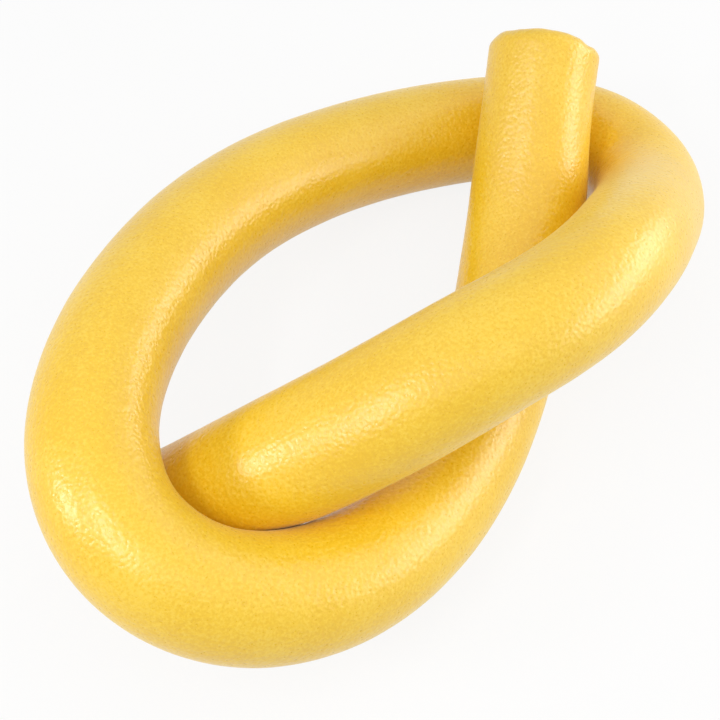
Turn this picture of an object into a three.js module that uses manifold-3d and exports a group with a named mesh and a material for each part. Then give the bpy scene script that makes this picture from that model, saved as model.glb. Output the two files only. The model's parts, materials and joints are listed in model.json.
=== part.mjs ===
// A foam swimming noodle tied in one loose overhand knot and laid on a level surface.
// Millimetres, +Z up. The origin is on that surface, under the middle of the knot.
//
// The noodle is one long round rod of soft foam. It is built here as the stretches between its
// crossings, bends and resting places, with the free end hung on two ball-shaped cuts, so that
// the free end can swing over the strand below it and lift off that strand.

import * as THREE from "three";
import { mergeVertices } from "three/addons/utils/BufferGeometryUtils.js";
import Module from "manifold-3d";

const wasm = await Module();
wasm.setup();

// Driving dimensions of the rod.
const ROD_DIAMETER = 70;
const ROD_RADIUS = ROD_DIAMETER / 2;
const SECTION_SIDES = 20;
const STEP = 14; // length of rod between two sections
const GAP = 0.3; // between neighbouring stretches

// Ball-shaped cuts at the two pivots of the free end.
const BALL_RADIUS = 45;
const BALL_CLEARANCE = 0.5;
const BALL_SEGMENTS = 40;
const CUTTER_RADIUS = 60; // wider than the rod and the balls

const LIFT_PIVOT = 140; // distance along the rod from its free end
const SWING_PIVOT = 215;

// The foam is level where the rod bears on the surface.
const FLOOR_SIZE = 600;
const FLOOR_DEPTH = 20;

// Route of the rod's middle line, from the free end in the air to the end tucked under the knot.
const ROUTE = [
  [95, 176, 118],
  [85, 111, 73],
  [74, 44, 43],
  [58, -23, 35],
  [31, -87, 36],
  [-10, -143, 51],
  [-58, -174, 70],
  [-108, -178, 92],
  [-146, -153, 109],
  [-163, -107, 115],
  [-160, -52, 110],
  [-140, 13, 95],
  [-101, 80, 74],
  [-44, 133, 54],
  [25, 169, 39],
  [94, 181, 34],
  [140, 165, 37],
  [162, 128, 46],
  [160, 88, 65],
  [145, 49, 94],
  [124, 8, 122],
  [91, -33, 139],
  [42, -67, 140],
  [-10, -91, 123],
  [-69, -106, 89],
  [-153, -118, 27],
];

// Stretches that never move against each other: name and where each one ends along the rod.
// The first begins at the swing pivot, and the last one runs to the end of the rod.
const KNOT_STRETCHES = [
  ["lower_run", 330],
  ["front_rise", 440],
  ["front_bend", 545],
  ["left_bend", 660],
  ["left_run", 800],
  ["back_run", 940],
  ["back_foot", 1035],
  ["hook_base", 1125],
  ["hook_rise", 1225],
  ["hook_top", 1330],
  ["crossing_run", 1475],
  ["tucked_end", Infinity],
];

const FOAM = { color: 0xf0c846, roughness: 0.55, metalness: 0 };

const route = new THREE.CatmullRomCurve3(ROUTE.map((point) => new THREE.Vector3(...point)));
route.arcLengthDivisions = 2000;
const rodLength = route.getLength();

// The part of the route between two distances along it.
class Stretch extends THREE.Curve {
  constructor(from, to) {
    super();
    this.from = from;
    this.to = to;
  }

  getPoint(t, target = new THREE.Vector3()) {
    const distance = THREE.MathUtils.lerp(this.from, this.to, t);
    return route.getPointAt(distance / rodLength, target);
  }
}

function solidFrom(geometry) {
  const bare = geometry.clone();
  bare.deleteAttribute("normal");
  bare.deleteAttribute("uv");
  const merged = mergeVertices(bare, 1e-3);
  const vertProperties = new Float32Array(merged.attributes.position.array);
  const triVerts = new Uint32Array(merged.index.array);
  return new wasm.Manifold(new wasm.Mesh({ numProp: 3, vertProperties, triVerts }));
}

function geometryFrom(solid) {
  const { vertProperties, triVerts } = solid.getMesh();
  const geometry = new THREE.BufferGeometry();
  geometry.setAttribute("position", new THREE.BufferAttribute(vertProperties, 3));
  geometry.setIndex(new THREE.BufferAttribute(triVerts, 1));
  geometry.computeVertexNormals();
  return geometry;
}

function roundSection(radius) {
  const corners = [];
  for (let i = 0; i < SECTION_SIDES; i += 1) {
    const angle = (2 * Math.PI * i) / SECTION_SIDES;
    corners.push(new THREE.Vector2(radius * Math.cos(angle), radius * Math.sin(angle)));
  }
  return new THREE.Shape(corners);
}

function rod(from, to, radius = ROD_RADIUS) {
  const steps = Math.ceil((to - from) / STEP);
  const extrudePath = new Stretch(from, to);
  return solidFrom(new THREE.ExtrudeGeometry(roundSection(radius), { steps, extrudePath }));
}

function ball(pivot, radius) {
  const centre = route.getPointAt(pivot / rodLength);
  const sphere = new THREE.SphereGeometry(radius, BALL_SEGMENTS, BALL_SEGMENTS / 2);
  return solidFrom(sphere.translate(centre.x, centre.y, centre.z));
}

// Everything around the rod on the free end's side of a pivot, except the pivot's ball.
function beyondBall(pivot) {
  const reach = 1.5 * BALL_RADIUS;
  return rod(pivot - reach, pivot, CUTTER_RADIUS).subtract(ball(pivot, BALL_RADIUS));
}

function floorSlab() {
  const slab = new THREE.BoxGeometry(FLOOR_SIZE, FLOOR_SIZE, FLOOR_DEPTH);
  return solidFrom(slab.translate(0, 0, -FLOOR_DEPTH / 2));
}

// The tip of the noodle, hollowed at its base to turn round the lift pivot's ball.
function freeEnd() {
  const socket = ball(LIFT_PIVOT, BALL_RADIUS + BALL_CLEARANCE);
  return rod(0, LIFT_PIVOT).subtract(socket);
}

// The piece between the pivots: a ball end under the tip, a socket over the knot's ball end.
function freeEndRoot() {
  const socket = ball(SWING_PIVOT, BALL_RADIUS + BALL_CLEARANCE);
  return rod(LIFT_PIVOT - BALL_RADIUS, SWING_PIVOT).subtract(socket).subtract(beyondBall(LIFT_PIVOT));
}

// The stretches of the knot itself, levelled where they bear on the surface.
function knotSolids() {
  const floor = floorSlab();
  let from = SWING_PIVOT - BALL_RADIUS;
  return KNOT_STRETCHES.map(([name, end]) => {
    const to = Math.min(end, rodLength);
    const whole = rod(from, to === rodLength ? to : to - GAP);
    const solid = from < SWING_PIVOT ? whole.subtract(beyondBall(SWING_PIVOT)) : whole;
    from = to;
    return [name, solid.subtract(floor)];
  });
}

function foamMesh(name, solid) {
  const mesh = new THREE.Mesh(geometryFrom(solid), new THREE.MeshStandardMaterial(FOAM));
  mesh.name = name;
  return mesh;
}

const noodle = new THREE.Group();
const freeEndGroup = new THREE.Group();
freeEndGroup.add(foamMesh("free_end", freeEnd()), foamMesh("free_end_root", freeEndRoot()));
noodle.add(freeEndGroup);

const knot = new THREE.Group();
knotSolids().forEach(([name, solid]) => knot.add(foamMesh(name, solid)));
noodle.add(knot);

export default noodle;
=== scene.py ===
import json
import math

import bpy
import numpy as np
from mathutils import Matrix, Vector, noise


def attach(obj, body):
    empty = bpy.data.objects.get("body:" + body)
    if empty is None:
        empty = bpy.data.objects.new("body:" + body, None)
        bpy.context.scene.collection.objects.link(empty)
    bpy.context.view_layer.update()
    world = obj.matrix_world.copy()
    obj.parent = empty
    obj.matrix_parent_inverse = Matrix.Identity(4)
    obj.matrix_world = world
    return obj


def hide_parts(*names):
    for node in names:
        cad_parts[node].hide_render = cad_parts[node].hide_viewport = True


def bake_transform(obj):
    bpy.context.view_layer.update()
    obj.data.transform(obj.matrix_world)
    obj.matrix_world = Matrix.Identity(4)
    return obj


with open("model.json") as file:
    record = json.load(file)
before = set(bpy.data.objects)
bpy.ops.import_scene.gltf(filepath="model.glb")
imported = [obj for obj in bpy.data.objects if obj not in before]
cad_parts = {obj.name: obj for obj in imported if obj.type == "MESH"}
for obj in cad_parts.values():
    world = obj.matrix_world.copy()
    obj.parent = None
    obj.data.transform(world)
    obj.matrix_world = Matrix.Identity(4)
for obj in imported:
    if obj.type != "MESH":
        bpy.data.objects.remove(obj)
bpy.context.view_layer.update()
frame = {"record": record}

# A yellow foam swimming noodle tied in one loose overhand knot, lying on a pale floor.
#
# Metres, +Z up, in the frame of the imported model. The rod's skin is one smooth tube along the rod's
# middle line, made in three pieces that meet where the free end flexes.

MM = 0.001

# The rod, as in the CAD model.
ROD_RADIUS = 35 * MM
ROUTE = np.array([
    [95, 176, 118],
    [85, 111, 73],
    [74, 44, 43],
    [58, -23, 35],
    [31, -87, 36],
    [-10, -143, 51],
    [-58, -174, 70],
    [-108, -178, 92],
    [-146, -153, 109],
    [-163, -107, 115],
    [-160, -52, 110],
    [-140, 13, 95],
    [-101, 80, 74],
    [-44, 133, 54],
    [25, 169, 39],
    [94, 181, 34],
    [140, 165, 37],
    [162, 128, 46],
    [160, 88, 65],
    [145, 49, 94],
    [124, 8, 122],
    [91, -33, 139],
    [42, -67, 140],
    [-10, -91, 123],
    [-69, -106, 89],
    [-153, -118, 27],
]) * MM

# Places along the rod, as distances from its free end.
SWING_SEAM = 275 * MM  # the skin's pieces meet here and at the next one
LIFT_SEAM = 172 * MM
SWING_FLEX = (262 * MM, 186 * MM)
LIFT_FLEX = (170 * MM, 100 * MM)
TIP_LENGTH = 5 * MM  # skin past the solid's cut face, where the foam bulges from the cut

# Where the strands press on each other the foam gets wider on the level and lower:
# (middle of the place, reach along the rod, share wider, shift to the right).
PRESSED = [
    (104 * MM, 42 * MM, 0.06, 2.2 * MM),
    (1470 * MM, 110 * MM, 0.075, 0.5 * MM),
    (430 * MM, 50 * MM, 0.02, 0),
]

# Skin mesh.
RING_STEP = 3.5 * MM
RING_SIDES = 112
CAP_RINGS = 9


# ---------------------------------------------------------------- the rod's middle line

LINE_SAMPLES = 1601  # about one a millimetre
SPLINE_FINENESS = 8  # points worked out for each one kept

def natural_spline(points, samples):
    """A twice-smooth curve through the points, evenly sampled by length: positions and distances."""
    knots = np.r_[0, np.cumsum(np.linalg.norm(np.diff(points, axis=0), axis=1))]
    gap = np.diff(knots)
    count = len(points)
    system = np.eye(count)
    right = np.zeros((count, 3))
    slope = np.diff(points, axis=0) / gap[:, None]
    for i in range(1, count - 1):
        system[i, i - 1:i + 2] = gap[i - 1], 2 * (gap[i - 1] + gap[i]), gap[i]
        right[i] = 6 * (slope[i] - slope[i - 1])
    second = np.linalg.solve(system, right)
    t = np.linspace(0, knots[-1], SPLINE_FINENESS * samples)
    k = np.clip(np.searchsorted(knots, t, side="right") - 1, 0, count - 2)
    a = ((knots[k + 1] - t) / gap[k])[:, None]
    b = 1 - a
    curve = (a ** 3 - a) * second[k] + (b ** 3 - b) * second[k + 1]
    fine = a * points[k] + b * points[k + 1] + curve * (gap[k] ** 2)[:, None] / 6
    along = np.r_[0, np.cumsum(np.linalg.norm(np.diff(fine, axis=0), axis=1))]
    distance = np.linspace(0, along[-1], samples)
    line = np.stack([np.interp(distance, along, fine[:, axis]) for axis in range(3)], axis=1)
    return line, distance


def transported_frames(tangents):
    """A side vector for every section, carried along the line without twist."""
    side = np.cross(tangents[0], (0, 0, 1))
    sides = [side / np.linalg.norm(side)]
    for tangent in tangents[1:]:
        side = sides[-1] - tangent * (sides[-1] @ tangent)
        sides.append(side / np.linalg.norm(side))
    return np.array(sides)


class Rod:
    """The middle line with its tangents, bending and section frames."""

    def __init__(self, points):
        self.line, self.distance = natural_spline(points, LINE_SAMPLES)
        self.length = self.distance[-1]
        tangents = np.gradient(self.line, self.distance, axis=0)
        self.tangents = tangents / np.linalg.norm(tangents, axis=1)[:, None]
        self.bends = np.gradient(self.tangents, self.distance, axis=0)
        self.sides = transported_frames(self.tangents)

    def _read(self, values, distance):
        return np.array([np.interp(distance, self.distance, values[:, axis]) for axis in range(3)])

    def at(self, distance):
        """Middle, tangent, side, other side and bend vector at a distance from the free end.

        Past either end the line goes straight on.
        """
        tangent = self._read(self.tangents, distance)
        tangent /= np.linalg.norm(tangent)
        middle = self._read(self.line, distance)
        past = distance - np.clip(distance, 0, self.length)
        middle = middle + tangent * past
        side = self._read(self.sides, distance)
        side -= tangent * (side @ tangent)
        side /= np.linalg.norm(side)
        return middle, tangent, side, np.cross(tangent, side), self._read(self.bends, distance)

    def point(self, distance):
        return self.at(distance)[0]


# ---------------------------------------------------------------- section shape

OVALISATION = 0.8e-4  # square metres: share of flattening for a squared bend of one per metre
OUTER_FLATTENING = 1.3e-4  # the same on the outer side of a bend, where the skin is stretched
FLOOR_CLEARANCE = 0.2 * MM
NEIGHBOUR = 170 * MM  # stretches further apart than this along the rod can touch
CONTACT_GAP = 0.1 * MM
CONTACT_SOFTNESS = 0.6 * MM
LUMPS = [(0.25 * MM, 45 * MM, 1.0), (0.08 * MM, 11 * MM, 2.0)]  # (height, size, seed)


def soft_floor(height, level, softness=1.2 * MM):
    """Height, eased so that it never goes below the level."""
    x = (height - level) / softness
    return level + softness * np.where(x > 20, x, np.log1p(np.exp(np.minimum(x, 20))))


def flattened(offsets, tangent, bend):
    """A bent foam rod gets thinner in the plane of its bend, most outside, and wider across it."""
    across = np.cross(tangent, bend)
    reach = (offsets @ bend)[:, None]
    inward = np.where(reach < 0, OUTER_FLATTENING, OVALISATION) * reach * bend
    outward = OVALISATION * (offsets @ across)[:, None] * across
    return offsets - inward + outward


def pressed(offsets, distance, tangent):
    """Wider on the level and lower where another strand presses on this one."""
    level = np.cross((0, 0, 1), tangent)
    level /= np.linalg.norm(level)
    if level[0] < 0:
        level = -level
    upright = np.cross(tangent, level)
    for middle, reach, share, shift in PRESSED:
        strength = math.exp(-((distance - middle) / reach) ** 2)
        wider = (share * (offsets @ level) + shift)[:, None] * level
        lower = share * (offsets @ upright)[:, None] * upright
        offsets = offsets + strength * (wider - lower)
    return offsets


def kept_apart(rod, places, middle, distance):
    """Skin pressed flat against the neighbouring strand where the two would run into each other."""
    far = np.abs(rod.distance - distance) > NEIGHBOUR
    line = rod.line[far]
    nearest = line[np.linalg.norm(line - middle, axis=1).argmin()]
    way = nearest - middle
    apart = np.linalg.norm(way)
    way /= apart
    limit = apart - ROD_RADIUS - CONTACT_GAP
    reach = (places - middle) @ way
    eased = -soft_floor(-reach, -limit, CONTACT_SOFTNESS)
    return places + (eased - reach)[:, None] * way


def unevenness(places, scale, seed):
    """Noise between about -1 and 1 at each place, for lumps of the given size."""
    shift = Vector((seed, 3.1 * seed, -1.7 * seed))
    return np.array([noise.noise(Vector(place) / scale + shift) for place in places])


def section(rod, distance, radius):
    """The ring of skin points at one distance along the rod."""
    middle, tangent, side, other, bend = rod.at(distance)
    angles = np.linspace(0, 2 * math.pi, RING_SIDES, endpoint=False)
    offsets = radius * (np.outer(np.cos(angles), side) + np.outer(np.sin(angles), other))
    offsets = flattened(offsets, tangent, bend)
    offsets = pressed(offsets, distance, tangent)
    places = middle + offsets
    outward = offsets / radius
    lumps = sum(height * unevenness(places, size, seed) for height, size, seed in LUMPS)
    places = places + outward * lumps[:, None]
    places = kept_apart(rod, places, middle, distance)
    places[:, 2] = soft_floor(places[:, 2], FLOOR_CLEARANCE)
    return places


# ---------------------------------------------------------------- cut ends

EDGE_ROUNDING = 9 * MM
CUT_FADE = 26 * MM  # how far back from the cut its slant and waviness reach
CUT_GRAIN = (0.5 * MM, 9 * MM, 5.0)  # (height, size, seed)

# The visible cut isn't square: dips and swellings across it from left to right, each as
# (place from -1 to 1, half width, height). The waves run straight across the hidden cut too.
CUT_WAVES = [
    (-1.0, 0.16, -3.2 * MM),
    (-0.62, 0.10, -0.7 * MM),
    (-0.08, 0.16, 0.7 * MM),
    (0.50, 0.12, -0.9 * MM),
    (0.72, 0.13, -3.4 * MM),
    (1.0, 0.20, -4.4 * MM),
]


def cut_profile():
    """Rings of a cut end from its rim inwards: (depth behind the face, radius)."""
    steps = [math.radians(angle) for angle in range(0, 91, 10)]
    rim = ROD_RADIUS - EDGE_ROUNDING
    rounded = [(EDGE_ROUNDING * (1 - math.sin(a)), rim + EDGE_ROUNDING * math.cos(a)) for a in steps]
    face = [(0, rim * (1 - i / CAP_RINGS)) for i in range(1, CAP_RINGS)]
    return rounded + face


# ---------------------------------------------------------------- skin mesh

def mesh_from_rings(name, rings, first_cap, last_cap):
    """A closed tube through the rings. A cap is its centre point and whether its rim stays crisp."""
    vertices = np.concatenate(rings + [np.array([first_cap[0], last_cap[0]])])
    count, sides = len(rings), RING_SIDES
    faces = []
    for ring in range(count - 1):
        low, high = ring * sides, (ring + 1) * sides
        for i in range(sides):
            j = (i + 1) % sides
            faces.append((low + i, low + j, high + j, high + i))
    first, last = count * sides, count * sides + 1
    top = (count - 1) * sides
    for i in range(sides):
        j = (i + 1) % sides
        faces.append((first, j, i))
        faces.append((last, top + i, top + j))
    mesh = bpy.data.meshes.new(name)
    mesh.from_pydata(vertices.tolist(), [], faces)
    mesh.shade_smooth()
    crisp = {tuple(sorted((base + i, base + (i + 1) % sides)))
             for base, (_, keep) in ((0, first_cap), (top, last_cap)) if keep for i in range(sides)}
    sharp = mesh.attributes.new("sharp_edge", "BOOLEAN", "EDGE")
    sharp.data.foreach_set("value", [tuple(sorted(edge.vertices)) in crisp for edge in mesh.edges])
    rest = mesh.attributes.new("rest_place", "FLOAT_VECTOR", "POINT")
    rest.data.foreach_set("vector", vertices.ravel())
    mesh.update()
    return mesh


def grid(start, stop):
    """Distances of the rings between two seams, both included."""
    return np.linspace(start, stop, max(2, round((stop - start) / RING_STEP) + 1))


def waved(rod, places, end, direction):
    """The places near a cut end, shifted along the rod by the cut's waviness."""
    middle, tangent, *_ = rod.at(end)
    outward = direction * tangent
    level = np.cross((0, 0, 1), tangent)
    level /= np.linalg.norm(level)
    level *= np.sign(level[0])
    across = (places - middle) @ level / ROD_RADIUS
    wave = sum(height * np.exp(-((across - at) / width) ** 2) for at, width, height in CUT_WAVES)
    height, size, seed = CUT_GRAIN
    wave = wave + height * unevenness(places, size, seed)
    behind = -(places - middle) @ outward
    strength = np.clip(1 - behind / CUT_FADE, 0, 1) ** 2
    return places + (strength * wave)[:, None] * outward


def cut_end(rod, end, direction):
    """Rings from the rod's full section to its cut face, and the face's centre."""
    rings = [section(rod, end - direction * depth, radius) for depth, radius in cut_profile()]
    return [waved(rod, ring, end, direction) for ring in rings], rod.point(end)


def skin(rod, name, start, stop, first_cut=False, last_cut=False):
    """The rod's skin between two places, with a cut end or a plain seam at each."""
    inset = EDGE_ROUNDING + 0.5 * RING_STEP
    body = grid(start + inset * first_cut, stop - inset * last_cut)
    rings = [section(rod, distance, ROD_RADIUS) for distance in body]
    first_cap, last_cap = (rings[0].mean(axis=0), True), (rings[-1].mean(axis=0), True)
    if first_cut:
        cut, middle = cut_end(rod, start, -1)
        rings = cut[::-1] + [waved(rod, ring, start, -1) for ring in rings]
        first_cap = (middle, False)
    if last_cut:
        cut, middle = cut_end(rod, stop, 1)
        rings = [waved(rod, ring, stop, 1) for ring in rings] + cut
        last_cap = (middle, False)
    piece = bpy.data.objects.new(name, mesh_from_rings(name, rings, first_cap, last_cap))
    bpy.context.scene.collection.objects.link(piece)
    return piece


# ---------------------------------------------------------------- materials

def srgb(red, green, blue):
    """A colour written in 0 to 255 sRGB as linear RGBA."""
    values = [value / 255 for value in (red, green, blue)]
    linear = [v / 12.92 if v <= 0.04045 else ((v + 0.055) / 1.055) ** 2.4 for v in values]
    return (*linear, 1)


FOAM_COLOUR = srgb(238, 194, 26)
FOAM_DEEP = srgb(233, 186, 12)
FOAM_PALE = srgb(243, 203, 56)
FOAM_SHEEN = srgb(255, 246, 215)
TINT_SPREAD = 0.09  # how far from the middle of the texture the deep and the pale tints lie
CLOUD_SHARE = 0.3  # of the tint that comes from the broad clouds, the rest being grain

# Cells, grain and clouds for each metre.
CELL_SCALE = 380
GRAIN_SCALE = 620
CLOUD_SCALE = 18

GRAIN_ROUGHNESS = (0.22, 0.40)
CELL_ROUGHNESS = (-0.04, 0.06)  # added to the grain's
GRAIN_HEIGHT = 0.7  # as a share of the cells'
BUMP_STRENGTH = 0.65
BUMP_DEPTH = 0.4 * MM


class Graph:
    """Short calls for adding nodes to a material."""

    def __init__(self, name):
        self.material = bpy.data.materials.new(name)
        self.material.use_nodes = True
        self.nodes = self.material.node_tree.nodes
        self.links = self.material.node_tree.links
        self.shader = self.nodes["Principled BSDF"]
        self.output = self.nodes["Material Output"]

    def add(self, kind, settings=None, **inputs):
        node = self.nodes.new(kind)
        for key, value in (settings or {}).items():
            setattr(node, key, value)
        for key, value in inputs.items():
            self.put(node.inputs[key.replace("_", " ")], value)
        return node

    def put(self, socket, value):
        if isinstance(value, bpy.types.NodeSocket):
            self.links.new(value, socket)
        else:
            socket.default_value = value

    def math(self, operation, a, b):
        node = self.add("ShaderNodeMath", {"operation": operation})
        self.put(node.inputs[0], a)
        self.put(node.inputs[1], b)
        return node.outputs[0]

    def span(self, value, low, high):
        """Rescales 0..1 to low..high."""
        node = self.add("ShaderNodeMapRange", Value=value, To_Min=low, To_Max=high)
        return node.outputs["Result"]


def foam_material():
    """Closed-cell foam: a satin skin, with fine cells that break up its gloss.

    The textures lie on the skin as it is at rest, so they stay in place when the free end moves.
    """
    g = Graph("foam")
    place = g.add("ShaderNodeAttribute", {"attribute_name": "rest_place"}).outputs["Vector"]
    cells = g.add("ShaderNodeTexVoronoi", {"feature": "SMOOTH_F1"}, Vector=place,
                  Scale=CELL_SCALE, Smoothness=0.5)
    grain = g.add("ShaderNodeTexNoise", Vector=place, Scale=GRAIN_SCALE, Detail=3, Roughness=0.6)
    broad = g.add("ShaderNodeTexNoise", Vector=place, Scale=CLOUD_SCALE, Detail=2, Roughness=0.5)

    tint = g.math("ADD", g.math("MULTIPLY", broad.outputs["Fac"], CLOUD_SHARE),
                  g.math("MULTIPLY", grain.outputs["Fac"], 1 - CLOUD_SHARE))
    colour = g.add("ShaderNodeValToRGB", Fac=tint)
    ramp = colour.color_ramp
    ramp.elements[0].position, ramp.elements[0].color = 0.5 - TINT_SPREAD, FOAM_DEEP
    ramp.elements[1].position, ramp.elements[1].color = 0.5 + TINT_SPREAD, FOAM_PALE
    middle = ramp.elements.new(0.5)
    middle.color = FOAM_COLOUR
    g.put(g.shader.inputs["Base Color"], colour.outputs["Color"])

    rough = g.math("ADD", g.span(grain.outputs["Fac"], *GRAIN_ROUGHNESS),
                   g.span(cells.outputs["Distance"], *CELL_ROUGHNESS))
    g.put(g.shader.inputs["Roughness"], rough)

    height = g.math("ADD", cells.outputs["Distance"],
                    g.math("MULTIPLY", grain.outputs["Fac"], GRAIN_HEIGHT))
    bump = g.add("ShaderNodeBump", Height=height, Strength=BUMP_STRENGTH, Distance=BUMP_DEPTH)
    g.put(g.shader.inputs["Normal"], bump.outputs["Normal"])

    g.shader.inputs["IOR"].default_value = 1.5
    g.shader.inputs["Specular IOR Level"].default_value = 0.85
    g.shader.inputs["Sheen Weight"].default_value = 0.25
    g.shader.inputs["Sheen Roughness"].default_value = 0.4
    g.shader.inputs["Sheen Tint"].default_value = FOAM_SHEEN
    return g.material


def sees_background(nodes, links):
    """1 for rays that show the background: from the camera, a reflection or through glass."""
    path = nodes.new("ShaderNodeLightPath")
    total = path.outputs["Is Camera Ray"]
    for kind in ("Is Glossy Ray", "Is Transmission Ray"):
        either = nodes.new("ShaderNodeMath")
        either.operation = "MAXIMUM"
        links.new(total, either.inputs[0])
        links.new(path.outputs[kind], either.inputs[1])
        total = either.outputs[0]
    return total


FLOOR_GREY = (0.80, 0.80, 0.80, 1)
FLOOR_WHITENESS = 0.86  # round the knot, where the floor keeps its shadow
FLOOR_FADE = (0.35, 1.1)  # distances from the knot between which the floor turns white


def floor_material():
    """Near white where it is seen, white further out, and plain pale to the light it passes on."""
    g = Graph("floor")
    g.shader.inputs["Base Color"].default_value = FLOOR_GREY
    g.shader.inputs["Roughness"].default_value = 0.9
    white = g.add("ShaderNodeEmission", Color=(1, 1, 1, 1), Strength=1.0)
    place = g.add("ShaderNodeNewGeometry").outputs["Position"]
    away = g.add("ShaderNodeVectorMath", {"operation": "LENGTH"})
    g.put(away.inputs[0], place)
    near, far = FLOOR_FADE
    whiteness = g.add("ShaderNodeMapRange", {"interpolation_type": "SMOOTHSTEP"},
                      Value=away.outputs["Value"], From_Min=near, From_Max=far,
                      To_Min=FLOOR_WHITENESS, To_Max=1.0)
    seen = g.math("MULTIPLY", sees_background(g.nodes, g.links), whiteness.outputs["Result"])
    mix = g.add("ShaderNodeMixShader")
    g.put(mix.inputs[0], seen)
    g.put(mix.inputs[1], g.shader.outputs[0])
    g.put(mix.inputs[2], white.outputs[0])
    g.put(g.output.inputs["Surface"], mix.outputs[0])
    return g.material


# ---------------------------------------------------------------- stage, lights and camera

CAMERA_TARGET = Vector((-0.0226, -0.0238, 0.0617))
CAMERA_DISTANCE = 0.771
CAMERA_ELEVATION = math.radians(58.77)
CAMERA_LENS = 65
SENSOR = 36
FLOOR_HALF = 4.0
ROOM_LIGHT = 0.45  # strength of the even light from all round


def make_camera():
    data = bpy.data.cameras.new("camera")
    data.sensor_width, data.lens = SENSOR, CAMERA_LENS
    data.clip_start, data.clip_end = 0.01, 50
    camera = bpy.data.objects.new("camera", data)
    back = Vector((0, -math.cos(CAMERA_ELEVATION), math.sin(CAMERA_ELEVATION)))
    camera.location = CAMERA_TARGET + back * CAMERA_DISTANCE
    camera.rotation_euler = (math.pi / 2 - CAMERA_ELEVATION, 0, 0)
    bpy.context.scene.collection.objects.link(camera)
    bpy.context.scene.camera = camera


def make_floor():
    corners = [(x * FLOOR_HALF, y * FLOOR_HALF, 0) for x, y in ((-1, -1), (1, -1), (1, 1), (-1, 1))]
    mesh = bpy.data.meshes.new("floor")
    mesh.from_pydata(corners, [], [(0, 1, 2, 3)])
    mesh.materials.append(floor_material())
    floor = bpy.data.objects.new("floor", mesh)
    bpy.context.scene.collection.objects.link(floor)


def direction(azimuth, elevation):
    """Unit vector; azimuth 0 is the camera's side and 90 the right."""
    a, e = math.radians(azimuth), math.radians(elevation)
    return Vector((math.sin(a) * math.cos(e), -math.cos(a) * math.cos(e), math.sin(e)))


def soft_box(name, places, directions, distance, width, radiance):
    """A rectangular lamp between two ends, each in one direction from one place on the knot.

    A direction is an azimuth and an elevation in degrees. The distance, and the width across the
    line between the ends, are in metres.
    """
    ends = [Vector(place) + direction(*way) * distance for place, way in zip(places, directions)]
    knot = (Vector(places[0]) + Vector(places[1])) / 2
    centre = (ends[0] + ends[1]) / 2
    along = ends[1] - ends[0]
    z = (centre - knot).normalized()
    x = (along - z * along.dot(z)).normalized()
    data = bpy.data.lights.new(name, "AREA")
    data.shape = "RECTANGLE"
    data.size, data.size_y = along.length, width
    data.energy = radiance * math.pi * along.length * width
    lamp = bpy.data.objects.new(name, data)
    lamp.matrix_world = Matrix.Translation(centre) @ Matrix((x, z.cross(x), z)).transposed().to_4x4()
    bpy.context.scene.collection.objects.link(lamp)


def make_lights():
    """Soft boxes, the first three placed so that their reflections lie on the named places."""
    middle = (0, 0, 0.08)
    over_strand = (-0.078, -0.119, 0.121)
    soft_box("window_left", (over_strand, over_strand), ((-83, 26), (-68, 28)), 1.4, 0.22, 22)
    on_left_bend = (-0.155, -0.152, 0.145), (-0.139, -0.180, 0.136)
    soft_box("skylight_left", on_left_bend, ((-72, 69), (-28, 51)), 0.8, 0.05, 27)
    on_hook = (0.090, -0.066, 0.166), (0.136, 0.001, 0.157)
    soft_box("window_right", on_hook, ((66, 17), (132, 6)), 1.4, 0.42, 4.3)
    soft_box("strip_right", (middle, middle), ((78, 38), (138, 38)), 1.5, 0.14, 2.2)
    soft_box("front_fill", (middle, middle), ((-45, 48), (45, 48)), 1.8, 0.6, 0.65)
    soft_box("ceiling", (middle, middle), ((-90, 42), (90, 42)), 1.6, 2.3, 0.33)


def make_world():
    """Even pale light, and plain white behind the floor's edge."""
    world = bpy.data.worlds.new("room")
    bpy.context.scene.world = world
    world.use_nodes = True
    nodes, links = world.node_tree.nodes, world.node_tree.links
    room = nodes["Background"]
    white = nodes.new("ShaderNodeBackground")
    for background, strength in ((room, ROOM_LIGHT), (white, 1.0)):
        background.inputs["Color"].default_value = (1, 1, 1, 1)
        background.inputs["Strength"].default_value = strength
    mix = nodes.new("ShaderNodeMixShader")
    links.new(sees_background(nodes, links), mix.inputs[0])
    links.new(room.outputs[0], mix.inputs[1])
    links.new(white.outputs[0], mix.inputs[2])
    links.new(mix.outputs[0], nodes["World Output"].inputs["Surface"])


# ---------------------------------------------------------------- the noodle

def make_noodle():
    rod = Rod(ROUTE)
    knot = skin(rod, "knot_skin", SWING_SEAM, rod.length, last_cut=True)
    root = skin(rod, "free_end_root_skin", LIFT_SEAM, SWING_SEAM)
    tip = skin(rod, "free_end_skin", -TIP_LENGTH, LIFT_SEAM, first_cut=True)
    foam = foam_material()
    for piece in (knot, root, tip):
        piece.data.materials.append(foam)
    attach(knot, "knot")
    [rod.point(d) for d in SWING_FLEX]
    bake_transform(root)
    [rod.point(d) for d in LIFT_FLEX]
    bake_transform(tip)
    knot_nodes = frame["record"]["behaviour"]["bodies"]["knot"]
    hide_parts(*knot_nodes)
    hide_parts("free_end_root")
    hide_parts("free_end")


make_camera()
make_noodle()
make_floor()
make_lights()
make_world()
bpy.context.scene.view_settings.view_transform = "Standard"
